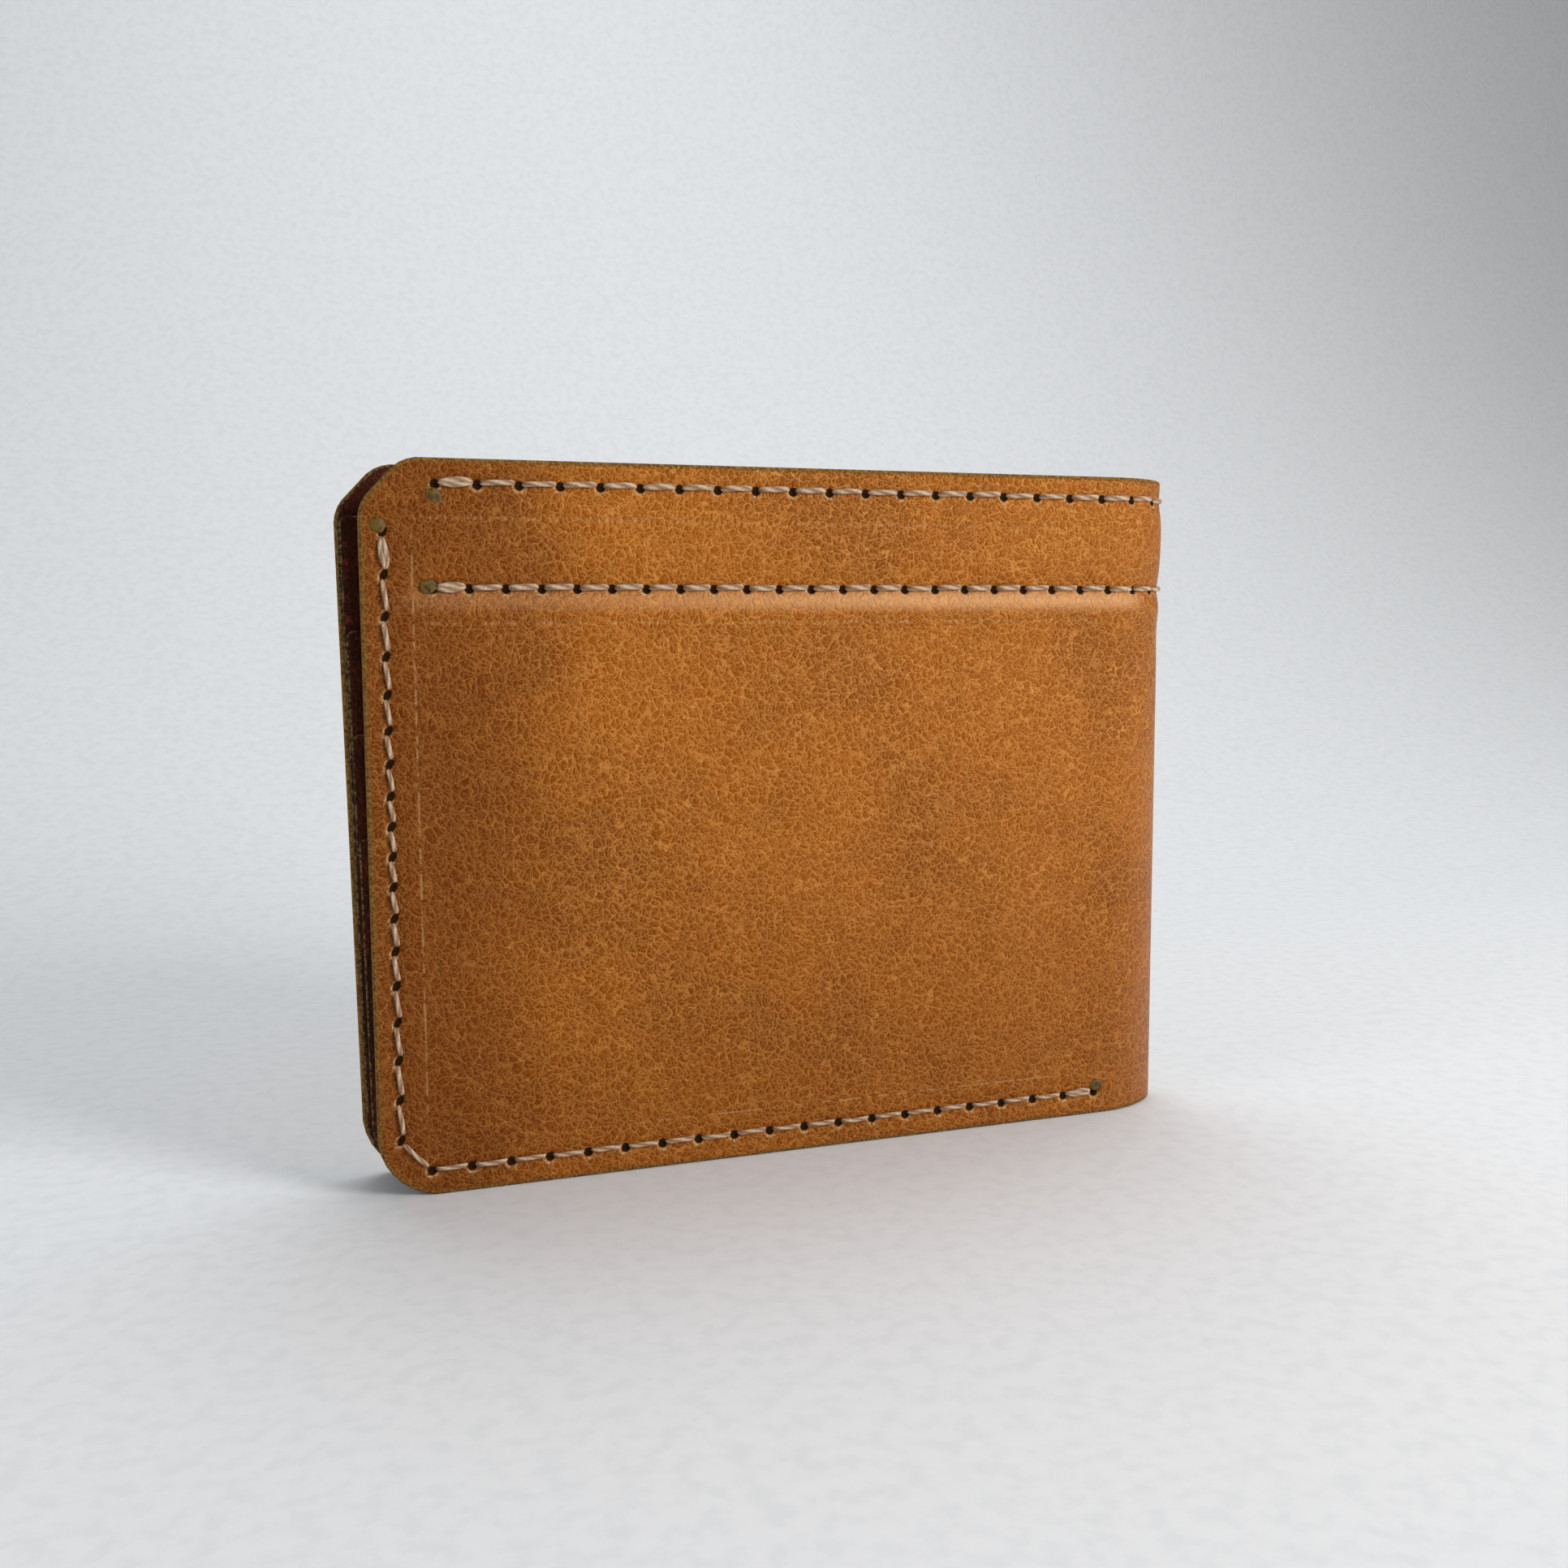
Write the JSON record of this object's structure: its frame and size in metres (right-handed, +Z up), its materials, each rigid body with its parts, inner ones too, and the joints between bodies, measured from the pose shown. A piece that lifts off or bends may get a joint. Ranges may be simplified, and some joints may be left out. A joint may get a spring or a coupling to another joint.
{
  "type": "bifold wallet",
  "caption": "Stitched leather bifold wallet that opens like a book on its soft spine, with card slots inside each half and a full-length bill compartment.",
  "frame": {"origin": "middle of the closed wallet's length and thickness, on the surface that it stands on", "axes": "+X towards the fold, the open edges at -X, the front cover facing -Y, +Z up"},
  "size_m": [0.1147, 0.0162, 0.09],
  "materials": {
    "outer_hide": "tan pull-up leather, waxed, with a fine pebbled grain and raw burnished edges",
    "inner_leather": "dark red-brown leather, fine grain, with raw olive-brown edges",
    "thread": "twisted waxed linen thread, pinkish beige"
  },
  "bodies": {
    "back_half": {"cover_back": "outer_hide", "band_back": "inner_leather", "panel_back": "inner_leather", "slot_upper_back": "inner_leather", "slot_lower_back": "inner_leather", "pocket_back": "inner_leather", "thread_top_back": "thread", "thread_band_back": "thread", "thread_edge_back": "thread", "thread_pockets_back": "thread", "thread_stem_upper_back": "thread", "thread_stem_lower_back": "thread"},
    "spine": {"cover_spine": "outer_hide", "band_spine": "inner_leather", "thread_top_spine": "thread", "thread_band_spine": "thread"},
    "front_half": {"cover_front": "outer_hide", "band_front": "inner_leather", "panel_front": "inner_leather", "slot_upper_front": "inner_leather", "slot_lower_front": "inner_leather", "pocket_front": "inner_leather", "thread_top_front": "thread", "thread_band_front": "thread", "thread_edge_front": "thread", "thread_pockets_front": "thread", "thread_stem_upper_front": "thread", "thread_stem_lower_front": "thread"}
  },
  "joints": [
    {"name": "spine_to_back", "type": "hinge", "parent": "back_half", "child": "spine", "pos_m": [0.05443, 0.0051, 0.045], "axis": [0, 0, 1], "range_deg": [0, 90], "deforming": ["cover_spine", "band_spine", "thread_top_spine", "thread_band_spine"]},
    {"name": "spine_to_front", "type": "hinge", "parent": "spine", "child": "front_half", "pos_m": [0.05443, -0.0051, 0.045], "axis": [0, 0, 1], "range_deg": [0, 90]}
  ],
  "couplings": [
    {"joint": "spine_to_front", "follows": "spine_to_back", "ratio": 1}
  ]
}
